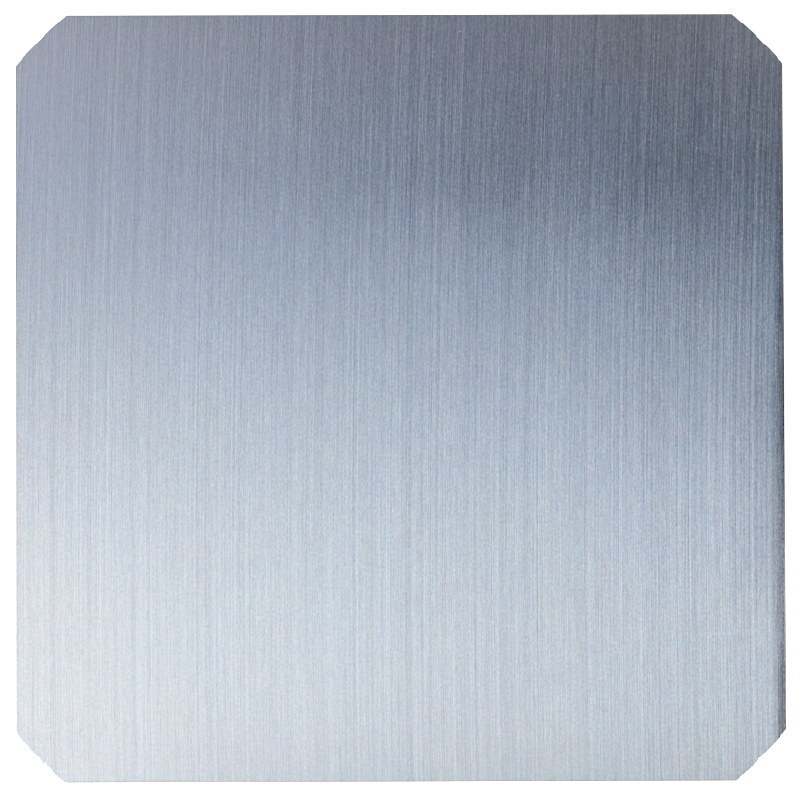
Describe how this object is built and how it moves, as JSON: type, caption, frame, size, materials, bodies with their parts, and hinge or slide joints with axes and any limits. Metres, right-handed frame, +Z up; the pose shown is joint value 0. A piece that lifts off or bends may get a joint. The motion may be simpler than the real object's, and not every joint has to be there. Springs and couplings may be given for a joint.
{
  "type": "silicon wafer",
  "caption": "Thin flat square slab of bare grey silicon with clipped arc corners and a fine lengthwise sawn grain, the blank that a solar cell is made from.",
  "frame": {"origin": "middle of the underside, which lies flat on the surface the wafer rests on", "axes": "+Z is up through the thickness, X and Y run square to the straight edges, and the saw marks run along Y"},
  "size_m": [0.125, 0.125, 0.0002],
  "materials": {
    "silicon": "satin"
  },
  "bodies": {
    "root": {"wafer": "silicon"}
  },
  "joints": []
}
